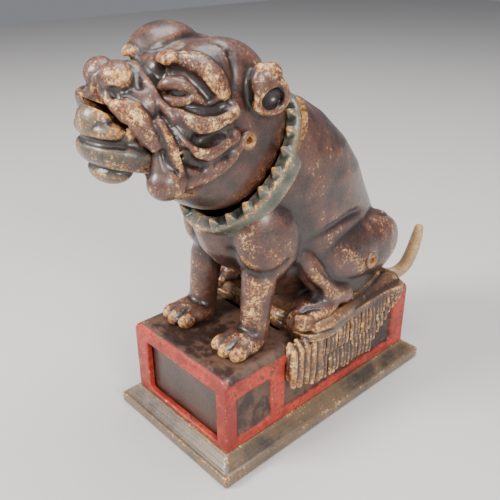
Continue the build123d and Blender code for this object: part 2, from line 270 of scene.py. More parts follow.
def nearness(places, path, width):
    """1 on a line and fading to 0 within about twice the width, the same on both sides."""
    folded = np.column_stack((np.abs(places[:, 0]), places[:, 1:]))
    line = curved(path) if len(path) > 2 else np.array([path[0], path[-1]], dtype=float)
    near = np.full(len(places), 1e9)
    for a, b in zip(line[:-1], line[1:]):
        run = b - a
        along = np.clip((folded - a) @ run / max(run @ run, 1e-9), 0, 1)
        near = np.minimum(near, np.linalg.norm(folded - a - along[:, None] * run, axis=1))
    return np.exp(-((near / width) ** 2))


def tool(piece, strokes):
    """Raises or sinks the skin along lines: (path, width, height)."""
    places, normals = points_of(piece)
    move = sum(height * nearness(places, path, width) for path, width, height in strokes)
    put_points(piece, places + normals * move[:, None])


def weather(piece, rubbed):
    """Stores at each point how far it stands proud, at two scales, and how hard it is rubbed.

    1 is a clear ridge, or bare of paint.
    """
    fine, broad = 5, 40
    places, normals = points_of(piece)
    edges = np.empty(len(piece.data.edges) * 2, dtype=np.int64)
    piece.data.edges.foreach_get("vertices", edges)
    a, b = edges[::2], edges[1::2]
    count = len(places)
    links = np.maximum(np.bincount(a, minlength=count) + np.bincount(b, minlength=count), 1)
    soft = places.copy()
    for step in range(1, broad + 1):
        total = np.column_stack([
            np.bincount(a, soft[b, k], count) + np.bincount(b, soft[a, k], count) for k in range(3)
        ])
        soft = total / links[:, None]
        if step in (fine, broad):
            name = "edge" if step == fine else "relief"
            proud = ((places - soft) * normals).sum(axis=1)
            usual = np.median(proud)
            proud = (proud - usual) / max(np.percentile(proud, 92) - usual, 1e-6)
            layer = piece.data.attributes.new(name, "FLOAT", "POINT")
            layer.data.foreach_set("value", proud.astype(np.float32))
    worn = np.zeros(count)
    for path, width, amount in rubbed:
        worn = np.maximum(worn, amount * nearness(places, path, width))
    layer = piece.data.attributes.new("rubbed", "FLOAT", "POINT")
    layer.data.foreach_set("value", worn.astype(np.float32))


def halve(piece, body, nodes, finish, rubbed=()):
    """Cuts a casting down the middle and hangs both halves on their body."""
    seam, reach, top = 0.02, 130, 210
    for side, node in zip((1, -1), nodes):
        half = piece.copy()
        half.data = piece.data.copy()
        bpy.context.scene.collection.objects.link(half)
        half.name = f"{piece.name}_{'left' if side > 0 else 'right'}"
        low, high = sorted((side * seam, side * reach))
        cut(half, [block((low, -reach, -5), (high, reach, top))], "INTERSECT")
        dress(half, body, (node,), finish, rubbed)
    bpy.data.objects.remove(piece)


def dress(piece, body, nodes, finish, rubbed=()):
    """Weathers a finished piece, gives it its finish and fixes it to its body."""
    weather(piece, rubbed)
    only(piece)
    bpy.ops.object.shade_smooth_by_angle(angle=math.radians(50))
    piece.data.materials.clear()
    piece.data.materials.append(finish)
    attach(piece, body)
    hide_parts(*nodes)


class Wire:
    """A value in a finish. Arithmetic on wires adds Math nodes to the finish."""

    def __init__(self, finish, socket):
        self.finish = finish
        self.socket = socket

    def maths(self, operation, *others):
        """A Math node's result, with this wire as its first value."""
        return self.finish.add("ShaderNodeMath", {"operation": operation}, dict(enumerate((self, *others))))

    def __add__(self, other):
        return self.maths("ADD", other)

    def __sub__(self, other):
        return self.maths("SUBTRACT", other)

    def __rsub__(self, other):
        return self.finish.add("ShaderNodeMath", {"operation": "SUBTRACT"}, {0: other, 1: self})

    def __mul__(self, other):
        return self.maths("MULTIPLY", other)

    __radd__ = __add__
    __rmul__ = __mul__

    def ease(self, low, high):
        """0 below low and 1 above high, with a soft step between."""
        span = {"From Min": low, "From Max": high, "Value": self}
        return self.finish.add("ShaderNodeMapRange", {"interpolation_type": "SMOOTHSTEP"}, span)


class Finish:
    """A material whose nodes are added one by one."""

    def __init__(self, name):
        self.material = bpy.data.materials.new(name)
        self.material.use_nodes = True
        self.tree = self.material.node_tree
        self.shader = self.tree.nodes["Principled BSDF"]
        self.place = self.add("ShaderNodeTexCoord", {}, {}, "Object")

    def add(self, kind, settings, inputs, output=0):
        """Adds a node, sets it, then gives its sockets their values or links."""
        node = self.tree.nodes.new(kind)
        for key, value in settings.items():
            if key == "stops":
                ramp = node.color_ramp
                while len(ramp.elements) < len(value):
                    ramp.elements.new(0.5)
                for element, (position, colour) in zip(ramp.elements, value):
                    element.position = position
                    element.color = (*colour, 1)
            else:
                setattr(node, key, value)
        for key, value in inputs.items():
            if isinstance(value, Wire):
                self.tree.links.new(value.socket, node.inputs[key])
            else:
                node.inputs[key].default_value = value
        return Wire(self, node.outputs[output])

    def stored(self, name):
        """A value stored at the points of the mesh."""
        return self.add("ShaderNodeAttribute", {"attribute_name": name}, {}, "Fac")

    def grain(self, size, detail=4, roughness=0.6, shift=0.0):
        """Cloudy noise with lumps of size millimetres, spread over about 0 to 1."""
        moved = self.add(
            "ShaderNodeMapping", {}, {"Vector": self.place, "Location": (shift, shift, shift)}
        )
        noise = self.add(
            "ShaderNodeTexNoise", {},
            {"Vector": moved, "Scale": 1000 / size, "Detail": detail, "Roughness": roughness},
        )
        return noise.ease(0.28, 0.72)

    def blend(self, amount, low, high):
        """A colour between two colours."""
        return self.add("ShaderNodeMix", {"data_type": "RGBA"}, {0: amount, 6: low, 7: high}, 2)

    def ramp(self, amount, stops):
        """A colour from a row of (position, colour) stops."""
        return self.add("ShaderNodeValToRGB", {"stops": stops}, {0: amount})

    def feed(self, **inputs):
        """Sets or links the shader's own sockets; words in a name are joined by _."""
        for key, value in inputs.items():
            socket = self.shader.inputs[key.replace("_", " ")]
            if isinstance(value, Wire):
                self.tree.links.new(value.socket, socket)
            else:
                socket.default_value = value

    def dent(self, height, distance):
        """Shades the surface as if it rose by height times distance millimetres."""
        sockets = {"Height": height, "Distance": distance * MM, "Strength": 1.0}
        self.feed(Normal=self.add("ShaderNodeBump", {}, sockets, "Normal"))


def shade(red, green, blue):
    """An sRGB colour out of 255 as the linear colour that a shader takes."""
    return tuple(
        v / 255 / 12.92 if v <= 10 else ((v / 255 + 0.055) / 1.055) ** 2.4 for v in (red, green, blue)
    )


def old_paint(name, dark, sheen_and_light_tone, wear=0.0, ridge=0.26):
    """Thick old japanned paint, worn through to copper, gold size and cream on the high places, with a painted
    sheen on the raised places and painted shade in the hollows.
    """
    finish = Finish(name)
    cloud, patch = finish.grain(24), finish.grain(6, shift=3)
    speck, dust = finish.grain(1.3, 5, 0.7, shift=7), finish.grain(0.45, 2, shift=9)
    relief, edge = finish.stored("relief"), finish.stored("edge")
    # The lighter colour is partly mottled paint tone and partly a painted sheen: the cloud noise mottles it and
    # the relief term lays it on the raised places.
    tone = (cloud * 0.45 + patch * 0.2 + relief * 0.3 + 0.08).ease(0.12, 0.72)
    paint = finish.blend(tone, (*dark, 1), (*sheen_and_light_tone, 1))
    broken = (patch - 0.5) * 0.6 + (cloud - 0.5) * 0.7 + (speck - 0.5) * 1.2 + (dust - 0.5) * 0.9
    height = finish.stored("rubbed") * 1.15 + relief * 0.36 + edge * ridge + broken + wear
    worn = height.ease(0.82, 1.2)
    copper = (height + (dust - 0.5) * 0.4).ease(0.5, 0.95)
    bright = finish.ramp(speck * 0.6 + patch * 0.4, (
        (0.2, shade(112, 68, 38)), (0.44, shade(172, 118, 66)), (0.64, shade(208, 162, 100)),
        (0.88, shade(232, 206, 158)),
    ))
    colour = finish.blend(copper * 0.75, paint, (*shade(118, 62, 42), 1))
    colour = finish.blend(worn, colour, bright)
    # Painted shade: the low places, where the relief sinks below the surroundings, are darkened towards near
    # black.
    hollow = (relief * -1.0 + (patch - 0.5) * 0.3).ease(0.5, 2.2)
    colour = finish.blend(hollow * 0.65, colour, (*shade(24, 15, 12), 1))
    finish.feed(
        Base_Color=colour, Roughness=speck * 0.14 + worn * 0.16 + hollow * 0.2 + 0.25,
        Metallic=worn * 0.35, Coat_Weight=(1 - worn) * 0.65, Coat_Roughness=0.25,
    )
    finish.dent(patch * 0.3 + speck * 0.35 - worn * 0.35, 0.35)
    return finish.material


brown_paint = old_paint("old_brown_paint", shade(34, 17, 13), shade(88, 56, 44))

wall = 3.2
haunch = (30.5, 73.5)
trunk_rings = (
    (45, 27, 35, 29), (52, 27, 36.5, 30.5), (60, 26.5, 38, 30.5), (68, 23, 41, 30), (76, 18.5, 46.5, 29.5),
    (84, 12.5, 50.5, 28.5), (92, 7.5, 52.5, 28), (104, 2, 51, 28.5), (118, -2.5, 48, 29), (132, -9, 43, 28.5),
    (146, -20, 38, 27), (154, -28, 33, 25),
)
collar_middle, collar_tilt = (-24.5, 132.7), math.radians(48)
collar_rise = (-math.sin(collar_tilt), math.cos(collar_tilt))
collar_slope = (math.cos(collar_tilt), math.sin(collar_tilt))


def on_collar_axis(offset):
    """The place that is offset millimetres beyond the collar plane, on the collar's axis."""
    return (
        0, (collar_middle[0] + offset * collar_rise[0]) * MM, (collar_middle[1] + offset * collar_rise[1]) * MM
    )


# trunk, shoulders and front legs
lumps = [barrel(trunk_rings)]
lumps += egg((17, -25, 99), (13, 17, 23), (12, 0, 0), pair=True)
lumps += rope((
    (17.5, -26, 97, 9.6), (18, -30, 84, 8.4), (18.3, -32.5, 70, 7.2), (18.5, -34, 58, 6.9),
    (18.5, -36, 52, 7.4),
), pair=True)
lumps += egg((18.5, -42, 52.6), (9.4, 11.5, 5.8), pair=True)
for toe in (-6.2, 0, 6.2):
    lumps += egg((18.5 + toe, -50.5 + abs(toe) * 0.25, 52.3), (3.3, 5.2, 4.0), pair=True)
# thigh, shin and hind foot
lumps += egg((20.5, 26, 76), (12.8, 33, 17.5), (-6, 0, 0), pair=True)
lumps += egg((19.5, 40, 74), (13, 26.5, 18.5), pair=True)
lumps += rope(((22, -9, 86, 6.5), (27.5, -4, 74, 6), (30, 3, 64, 6), (29, 14, 60, 6)), pair=True)
lumps += egg((27.5, -3, 59), (9.5, 16.5, 6.8), (4, 0, 6), pair=True)
lumps += egg((29, -15.5, 57.2), (7.5, 6.5, 5.2), pair=True)
dog = fuse("dog_trunk", lumps, 0.85, 7)
tool(dog, [
    # crease round the thigh, folds behind the shin and between the toes
    (((24, -12, 95), (27, 4, 97.5), (27, 22, 98.5), (25, 42, 95), (22, 60, 84)), 2.2, -1.6),
    (((33, -7, 84), (34, 1, 76), (34.5, 11, 69), (34.5, 28, 62), (33, 43, 61), (31, 55, 64)), 2.2, -2.2),
    (((35, 22, 66), (35, 36, 65), (33, 50, 68)), 2.0, 0.8),
    (((26, -17, 80), (29, -13, 74), (31, -7, 69)), 4.0, -2.6),
    (((32, -13, 64), (37, -3, 63.5), (38, 8, 62)), 1.8, -1.5),
    (((31, -19, 61), (36, -14, 61), (38.5, -5, 60), (38.5, 6, 58)), 1.5, 1.0),
    (((24, -22, 58), (25, -15, 62)), 1.2, -1.0),
    (((30, -22, 58), (31, -15, 62)), 1.2, -1.0),
    (((15.4, -56, 53), (15.4, -47, 58)), 0.9, -1.2),
    (((21.6, -56, 53), (21.6, -47, 58)), 0.9, -1.2),
    # leg and shoulder
    (((13, -42, 95), (19, -40, 88), (25, -33, 85), (28, -24, 90)), 2.4, -1.1),
    (((27, -33, 82), (26, -37, 68), (25.5, -38, 58)), 1.6, 0.6),
    (((29.5, -14, 112), (31, -8, 96), (29, -12, 84)), 5.0, -1.0),
    (((0, -50, 104), (0, -48, 92), (0, -36, 80)), 3.5, 0.8),
    # slack skin on the flank and low ribs
    (((29, 5, 116), (30, 18, 104), (30, 30, 98)), 5.0, -0.5),
    (((28, 12, 130), (30, 26, 114)), 5.0, 0.5),
])
hollow = barrel([(z if z > 45 else 40, y, long - wall, wide - wall) for z, y, long, wide in trunk_rings])
bpy.ops.object.select_all(action="DESELECT")
bpy.ops.mesh.primitive_cylinder_add(
    vertices=96, radius=MM, depth=60 * MM, rotation=(collar_tilt, 0, 0), location=on_collar_axis(14),
)
neck_hole = bpy.context.object
neck_hole.scale = (24.3, 31.5, 1)
beyond_collar = block((-100, -100, 0), (100, 100, 90))
beyond_collar.rotation_euler = (collar_tilt, 0, 0)
beyond_collar.location = on_collar_axis(-0.6)
cut(dog, [beyond_collar])
cut(dog, [hollow, neck_hole, bar(haunch, 3.05, -60, 60), block((-5.2, 50, 20), (8.2, 80, 54.5))])
cut(dog, [block((-60, -90, 20), (60, 90, 48.6))])
halve(dog, "body", ("body_left", "body_right"), brown_paint, (
    (((19, -40, 90), (22.5, -40, 76), (22, -41, 58)), 5.0, 0.72),
    (((14, -44, 84), (14, -44, 64)), 4.0, 0.5),
    (((16, -42, 104), (24, -36, 98), (29, -24, 96)), 5.0, 0.42),
    (((30, 6, 90), (33, 14, 84), (34, 22, 76), (33.6, 26, 68)), 4.4, 0.75),
    (((31, 38, 90), (32, 46, 80)), 5.0, 0.3),
    (((34, 52, 74), (32, 56, 68)), 3.0, 0.4),
    (((12, -54, 53), (25, -54, 53)), 4.0, 0.5),
    (((36, -18, 62), (37, -4, 66)), 4.0, 0.35),
    (((18, 8, 146), (16, 30, 126)), 4.0, 0.2),
    (((28, -8, 124), (30, 0, 112)), 3.0, 0.2),
))

# The rug is cast in one with the halves: a flat mat under the dog with a rolled edge, and its
# fringe hanging down both sides of the pedestal in thick cords at the front and two finer rows.
deck_z, side_x = 49.2, 33.85
rug_edge = (
    (0, -18), (26, -18.6), (35, -17.2), (39.2, -12), (40.2, -4), (38.4, 6), (36.8, 16), (36.2, 40),
    (35.6, 58), (0, 59.5),
)
fringe_foot = (
    (-29, 29), (-17, 25.6), (-6, 22), (15, 20.4), (24, 22), (33, 20), (34, 24), (40, 30), (46, 37),
    (54, 41), (59, 44),
)


def tile(outline, low, high):
    """A plate with an (x, y) outline on one side of the middle, and its mirror image."""
    plates = []
    for side in (1, -1):
        bpy.ops.object.select_all(action="DESELECT")
        bpy.ops.mesh.primitive_circle_add(vertices=len(outline), radius=MM, fill_type="NGON")
        plate = bpy.context.object
        for point, (x, y) in zip(plate.data.vertices, outline):
            point.co = Vector((side * x, y, low)) * MM
        bpy.ops.object.mode_set(mode="EDIT")
        bpy.ops.mesh.select_all(action="SELECT")
        bpy.ops.mesh.extrude_region_move(TRANSFORM_OT_translate={"value": (0, 0, (high - low) * MM)})
        bpy.ops.mesh.select_all(action="SELECT")
        bpy.ops.mesh.normals_make_consistent(inside=False)
        bpy.ops.object.mode_set(mode="OBJECT")
        plates.append(plate)
    return plates


random.seed(7)
lumps = tile([(max(x, -1), y) for x, y in curved(rug_edge, 4)], deck_z - 0.4, 52.4)
for fold in (
    (
        (36, -11, 54.6, 3.2), (37.2, -3, 54.8, 3.4), (35.4, 8, 54, 3.3), (32.6, 17, 52.4, 3.4),
        (30.6, 26, 51.6, 4.4),
    ),
    ((36, -11, 54.6, 3.2), (30, -14.2, 54.4, 3.0), (16, -15.4, 54, 3.0), (0, -15.4, 53.8, 3.0)),
    (
        (30, 14, 50.6, 5.2), (29, 34, 50.8, 5.6), (28.4, 56, 50.6, 5.2), (16, 57, 50.6, 4.6),
        (0, 57, 50.6, 4.4),
    ),
):
    lumps += rope(fold, pair=True)
lumps += tile([(-1, -14), (34.5, -11), (36, 2), (33, 14), (-1, 16)], 50, 56.4)
lumps += rope(((31, 20, 55, 2.0), (28.6, 34, 56.4, 2.2), (25, 48, 56, 2.0)), pair=True)
foot_y = [y for y, z in fringe_foot]
foot_height = [z for y, z in fringe_foot]
for number in range(5):
    y = -26.4 + number * 4.3
    low = float(np.interp(y, foot_y, foot_height)) + random.uniform(-1, 0.6)
    lumps += rope((
        (33.2, y + 0.6, 50.2, 1.3), (36.0, y + 0.4, 46.5, 1.9), (36.6, y - 0.3, 37, 2.0),
        (36.2, y, low + 1.6, 1.7),
    ), pair=True)
for number in range(22):
    y = -5.4 + number * 2.9
    low = float(np.interp(y, foot_y, foot_height)) + random.uniform(-0.8, 0.8)
    middle = low + (51 - low) * 0.48
    for top, bottom, proud in ((51.4, middle, 35.9), (middle + 0.6, low, 35.2)):
        lean = random.uniform(-0.5, 0.5)
        lumps += rope((
            (proud - 0.5, y, top, 1.0), (proud + 0.2, y + lean, (top + bottom) / 2, 1.25),
            (proud, y + lean, bottom + 1.2, 1.2),
        ), pair=True)
backing = [(-28.5, 50.4), *[(max(y, -28.5), z + 3) for y, z in fringe_foot], (59, 50.4)]
for side in (1, -1):
    low, high = sorted((side * 33, side * 34.7))
    lumps.append(slab(backing, low, high))
rug = fuse("rug", lumps, 0.42, 1)
cut(rug, [block((-side_x + 0.3, -40, 0), (side_x - 0.3, 70, deck_z - 0.2))])
gold_fringe = old_paint("bronzed_rug", shade(46, 27, 16), shade(108, 78, 50), wear=0.24, ridge=0.42)
halve(rug, "body", ("body_left", "body_right"), gold_fringe, (
    (((38, -27, 46), (38.6, -12, 34), (38, 0, 28)), 9.0, 0.35),
    (((37, 8, 44), (37, 30, 32), (37, 50, 46)), 9.0, 0.3),
    (((10, -18, 53), (30, -17, 54), (38.4, -12, 54.6), (40, -3, 54.8)), 1.6, 0.75),
))

# The pedestal belongs to the same two castings: an open-bottomed box with a framed window in
# front and two sunk panels each side. The frames are picked out in red, the rest is brown.
end_y, foot_z = 65.15, 11.0
window_low, window_high = (-24.5, 13.5), (27.0, 41.0)
screw_places = [(x, y) for x in (-26, 26) for y in (-55.4, 55.4)]
screw_radius = 1.95
pedestal = block((-side_x, -end_y, foot_z), (side_x, end_y, deck_z))


def round_edges(piece, chosen, offset, segments):
    """Bevels the edges whose middle point, in millimetres, passes the test."""
    only(piece)
    bpy.ops.object.mode_set(mode="EDIT")
    bpy.ops.mesh.select_all(action="DESELECT")
    bpy.ops.object.mode_set(mode="OBJECT")
    for edge in piece.data.edges:
        ends = [piece.data.vertices[v].co / MM for v in edge.vertices]
        edge.select = chosen((ends[0] + ends[1]) / 2, ends[1] - ends[0])
    bpy.ops.object.mode_set(mode="EDIT")
    bpy.ops.mesh.select_mode(type="EDGE")
    bpy.ops.mesh.bevel(offset=offset * MM, segments=segments, affect="EDGES")
    bpy.ops.object.mode_set(mode="OBJECT")


def peg(place, radius, low, high, vertices=32):
    """An upright round bar at the (x, y) place."""
    bpy.ops.object.select_all(action="DESELECT")
    bpy.ops.mesh.primitive_cylinder_add(
        vertices=vertices, radius=radius * MM, depth=(high - low) * MM,
        location=(place[0] * MM, place[1] * MM, (low + high) / 2 * MM),
    )
    return bpy.context.object


round_edges(pedestal, lambda middle, run: middle.z > deck_z - 1 and abs(run.y) > 50, 4.5, 8)
round_edges(pedestal, lambda middle, run: middle.z > deck_z - 1 and abs(run.y) < 1, 1.2, 3)
openings = [
    block((-side_x + wall, -end_y + wall, 0), (side_x - wall, end_y - wall, deck_z - wall)),
    block((window_low[0], -end_y - 2, window_low[1]), (window_high[0], -end_y + 8, window_high[1]), 1.2),
    # the slot that the tail swings in, wider at the back, and the way up into the dog
    block((-5.2, 50, 23.5), (8.2, 80, 60)), block((7, 64, 23.5), (12.6, 80, 60)),
    block((-20, -20, 40), (20, 58, 60)),
]
for side in (1, -1):
    for near, far, top in ((-58.7, -37.7, 38), (-29.0, 54.0, 42.5)):
        low, high = sorted((side * (side_x - 1.5), side * (side_x + 4)))
        openings.append(block((low, near, 16), (high, far, top), 1.3))
cut(pedestal, openings)
pedestal = fuse("pedestal", [pedestal], 0.6, 2)
for place in screw_places:
    cut(pedestal, [peg(place, 4.5, 3.3, 46.3)], "UNION")
    cut(pedestal, [peg(place, screw_radius, -8, 32)])


def framed_paint(name):
    """Red on the frames, brown on the sunk panels and the deck, all worn to bronze and cream, with painted
    shade in the creases.
    """
    finish = Finish(name)
    cloud, patch = finish.grain(22), finish.grain(5, shift=4)
    speck = finish.grain(1.4, 5, 0.7, shift=6)
    relief, edge = finish.stored("relief"), finish.stored("edge")
    axes = finish.add("ShaderNodeSeparateXYZ", {}, {0: finish.place}, 0)
    across_side = finish.add("ShaderNodeMath", {"operation": "ABSOLUTE"}, {0: axes})
    along = Wire(finish, axes.socket.node.outputs[1])
    height = Wire(finish, axes.socket.node.outputs[2])
    wobble = (patch - 0.5) * 0.0006
    on_side = (across_side + wobble).ease((side_x - 0.95) * MM, (side_x - 0.55) * MM)
    on_front = (along * -1.0 + wobble).ease((end_y - 3.4) * MM, (end_y - 2.6) * MM)
    below_deck = 1 - (height + wobble * 2).ease((deck_z - 3.4) * MM, (deck_z - 2.7) * MM)
    front_below = 1 - (height + wobble).ease((deck_z - 1.1) * MM, (deck_z - 0.5) * MM)
    red_place = (on_side * below_deck).maths("MAXIMUM", on_front * front_below)
    tone = (cloud * 0.5 + patch * 0.5).ease(0.3, 0.7)
    brown = finish.blend(tone, (*shade(40, 24, 18), 1), (*shade(92, 66, 52), 1))
    red = finish.blend(tone, (*shade(128, 30, 18), 1), (*shade(186, 52, 32), 1))
    red = finish.blend((cloud * 0.5 + speck * 0.5).ease(0.55, 0.8) * 0.3, red, (*shade(206, 96, 66), 1))
    chip = (speck * 0.55 + patch * 0.35 + cloud * 0.25).ease(0.72, 0.78) * 0.85
    red = finish.blend(chip, red, (*shade(70, 42, 36), 1))
    colour = finish.blend(red_place, brown, red)
    worn = (edge * 0.3 + (speck - 0.5) * 1.1 + (patch - 0.5) * 0.9).ease(0.75, 1.15)
    bright = finish.ramp(speck, (
        (0.25, shade(126, 84, 60)), (0.5, shade(186, 146, 106)), (0.8, shade(226, 204, 170)),
    ))
    colour = finish.blend(worn * 0.85, colour, bright)
    # Painted shade: the creases and inner corners are darkened towards near black.
    crease_shade = (edge * -0.6 + (patch - 0.5) * 0.4).ease(0.35, 1.6)
    colour = finish.blend(crease_shade * 0.75, colour, (*shade(26, 18, 16), 1))
    finish.feed(
        Base_Color=colour, Roughness=speck * 0.18 + worn * 0.15 + 0.36, Coat_Weight=(1 - worn) * 0.15,
    )
    finish.dent(patch * 0.25 + speck * 0.4 - chip * 0.6 - worn * 0.3, 0.3)
    return finish.material


red_frames = framed_paint("red_frames_brown_panels")
halve(pedestal, "body", ("body_left", "body_right"), red_frames)

# The panel behind the front window is a loose plate of thin cast iron, painted brown and held
# between the two halves. It is the frame's own shape with the softened edges of a casting.


def frame_copy(node):
    """A free copy of a node's mesh, with its loose triangles joined up."""
    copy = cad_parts[node].copy()
    copy.data = copy.data.copy()
    copy.parent = None
    for key in list(copy.keys()):
        del copy[key]
    bpy.context.scene.collection.objects.link(copy)
    only(copy)
    bpy.ops.object.mode_set(mode="EDIT")
    bpy.ops.mesh.select_all(action="SELECT")
    bpy.ops.mesh.remove_doubles(threshold=0.00001)
    bpy.ops.object.mode_set(mode="OBJECT")
    return copy


def recast(node, grain, body, finish):
    """A flat part in the frame's own shape with a cast skin."""
    dress(fuse(f"{node}_cast", [frame_copy(node)], grain, 2), body, (node,), finish)


panel_paint = old_paint("panel_brown", shade(30, 19, 15), shade(66, 46, 36), wear=-0.4)
recast("front_panel", 0.45, "body", panel_paint)

# The base plate is one flat casting: a plain edge, a bead and a cove that rises to the foot of
# the pedestal, hollowed out like a tray. It is painted a drab olive that has worn to bare tan.
base = [block((-41, -72.3, 0), (41, 72.3, 5.8), 0.7)]
base.append(block((-38.8, -70.1, 4), (38.8, 70.1, 7.3), 1.0))
base.append(block((-37.2, -68.5, 5), (37.2, 68.5, 8.6), 0.9))
for inset, top in ((0, 9.0), (0.9, 9.7), (1.5, 10.4), (1.8, 11.0)):
    base.append(block((-36.2 + inset, -67.5 + inset, 6), (36.2 - inset, 67.5 - inset, top), 0.2))
base = fuse("base_casting", base, 0.62, 2)
inner_x, inner_y = side_x - wall - 0.05, end_y - wall - 0.05
tray = [block((-inner_x, -inner_y, 3.2), (inner_x, inner_y, 20))]
for place in screw_places:
    tray += [peg(place, screw_radius, -4, 9), peg(place, 3.8, -4, 1.8)]
# the coin trap's hole, the ledge for its cover and the two notches for its locking bar
trap_y = 28.0
tray += [peg((0, trap_y), 16, -4, 9, 96), peg((0, trap_y), 18, -4, 1.6, 96)]
tray.append(block((-4.4, trap_y - 19.6, -4), (4.4, trap_y + 19.6, 9)))
cut(base, tray)
spring_post = peg((0, 1.9), 1.5, 1.2, 15.2, 24)
cut(base, [spring_post], "UNION")
olive_paint = old_paint("olive_drab", shade(44, 32, 24), shade(100, 82, 58), wear=-0.12)
dress(base, "body", ("base_plate",), olive_paint)

# The coin trap's cover is a round cast plate in a hole in the base plate, painted like it and
# held by a steel bar that turns on a rivet.
recast("trap_cover", 0.4, "trap", olive_paint)

# The studded collar is cast with the two halves, where the neck is cut off square. It is a
# broad band with rolled edges, painted a blue green that has faded to grey, with worn studs.


def collar_line(turn):
    """A point (across, along) of the collar's middle line, and the way out from it."""
    def at(t):
        return np.array(((25.6 + 1.0 * math.cos(t + math.pi)) * math.sin(t), -2.0 + 32.6 * math.cos(t)))
    ahead = at(turn + 0.01) - at(turn - 0.01)
    out = np.array((ahead[1], -ahead[0])) / np.linalg.norm(ahead)
    return at(turn), -out


def collar_point(turn, out, rise):
    """Millimetres out from the middle line and up from the collar plane, as (x, y, z)."""
    middle, way = collar_line(turn)
    across, along = middle + way * out
    return (
        across, collar_middle[0] + along * collar_slope[0] + rise * collar_rise[0],
        collar_middle[1] + along * collar_slope[1] + rise * collar_rise[1],
    )


bpy.ops.object.select_all(action="DESELECT")
ring_radius = 32
bpy.ops.mesh.primitive_torus_add(
    major_segments=144, minor_segments=28, major_radius=ring_radius * MM, minor_radius=4 * MM
)
collar = bpy.context.object
places, _ = points_of(collar)
turns = np.arctan2(places[:, 0], places[:, 1])
outs = np.hypot(places[:, 0], places[:, 1]) - ring_radius
rises = places[:, 2]
square = np.maximum(np.abs(outs), np.abs(rises)) / np.maximum(np.hypot(outs, rises), 1e-6)
put_points(collar, np.array([
    collar_point(t, o / s * 0.84, r / s * 1.15 - 2.6) for t, o, r, s in zip(turns, outs, rises, square)
]))
lumps = [collar]
for step in range(-5, 5):
    for side in (1, -1):
        turn = side * math.radians(93 + step * 16.5)
        foot, tip = (Vector(collar_point(turn, 0.2, rise)) * MM for rise in (0.2, 5.6))
        aim = (tip - foot).to_track_quat("Z", "Y").to_euler()
        bpy.ops.object.select_all(action="DESELECT")
        bpy.ops.mesh.primitive_cone_add(
            vertices=4, radius1=4.4 * MM, radius2=0.8 * MM, depth=(tip - foot).length,
            location=(foot + tip) / 2, rotation=aim,
        )
        lumps.append(bpy.context.object)
collar = fuse("collar", lumps, 0.5, 2)
collar_paint = old_paint("faded_collar_green", shade(36, 40, 35), shade(98, 106, 92), wear=0.12, ridge=0.5)
halve(collar, "body", ("body_left", "body_right"), collar_paint)

# The head is the second pair of castings, hollow like the first: skull, brows, nose and hanging
# flews in one skin, over a round neck that turns on its pin inside the collar.
neck_y, neck_z = -42.0, 147.0
eye_place, eye_radius = (17.8, -68.5, 169.6), 4.6


def neck_drum(inset):
    """The round neck, turned about the pin, or its hollow when inset."""
    bpy.ops.object.select_all(action="DESELECT")
    bpy.ops.mesh.primitive_uv_sphere_add(segments=96, ring_count=64, radius=MM)
    drum = bpy.context.object
    places, _ = points_of(drum)
    reach = (np.abs(places[:, 0]) ** 3 + np.hypot(places[:, 1], places[:, 2]) ** 3) ** (1 / 3)
    wide, tall = 23 - inset, 32.5 - inset
    put_points(drum, places / reach[:, None] * (wide, tall, tall) + (0, neck_y, neck_z))
    return drum


def roll(path, pair=True):
    """A rope along a smooth line through (x, y, z, radius) points."""
    return rope(curved(path, 3), pair)


# skull with one dome higher than the other, muzzle, nose and brows
lumps = [neck_drum(0)]
lumps += egg((0, -55, 160), (25.5, 28, 21)) + egg((0, -49, 163), (21, 25, 20))
lumps += egg((9.5, -46, 166), (13.5, 24, 17.6), pair=True) + egg((-11, -53, 176), (12.4, 16.5, 12.4))
lumps += egg((15.5, -60, 152), (10.5, 14, 15), pair=True)
lumps += egg((0, -77, 164), (18.5, 13.5, 12)) + egg((0, -77, 169.5), (9, 12, 8.5))
lumps += egg((5.2, -84.8, 173.2), (6.9, 6.2, 6.5), pair=True) + egg((0, -86.5, 170.5), (8, 5, 5))
lumps += egg((10.4, -67.2, 177.6), (5.4, 4.6, 3.9), (10, 0, -20), pair=True)
lumps += roll((
    (8, -67, 175.4, 3.4), (11.4, -63.4, 176, 4.6), (15.4, -58.6, 174.6, 5.8), (18.8, -56, 170.8, 6.2),
    (20.6, -54, 165.6, 5.6), (21.4, -50.6, 161, 4.6),
))
# upper lip and flews
lumps += roll((
    (4, -87.6, 168.6, 3.4), (11, -88, 166.4, 4.2), (15.2, -85.2, 161.6, 4.5), (17.6, -82.4, 156.6, 4.2),
    (18.9, -80.2, 152.6, 3.4),
))
lumps += roll((
    (18.6, -78, 155, 3.6), (18.8, -77.6, 149, 3.8), (19.2, -78.2, 144.5, 4.4), (19.6, -78.6, 140.5, 5.4),
))
lumps += egg((20, -77.4, 138.4), (6.9, 8, 6.9), (14, 0, 0), pair=True)
lumps += roll((
    (20.2, -79.3, 159.5, 2.2), (21.6, -77, 153.5, 2.5), (22.6, -75.8, 148.9, 2.6), (23.2, -75, 142.5, 2.6),
    (23.2, -74.6, 137.5, 2.6),
))
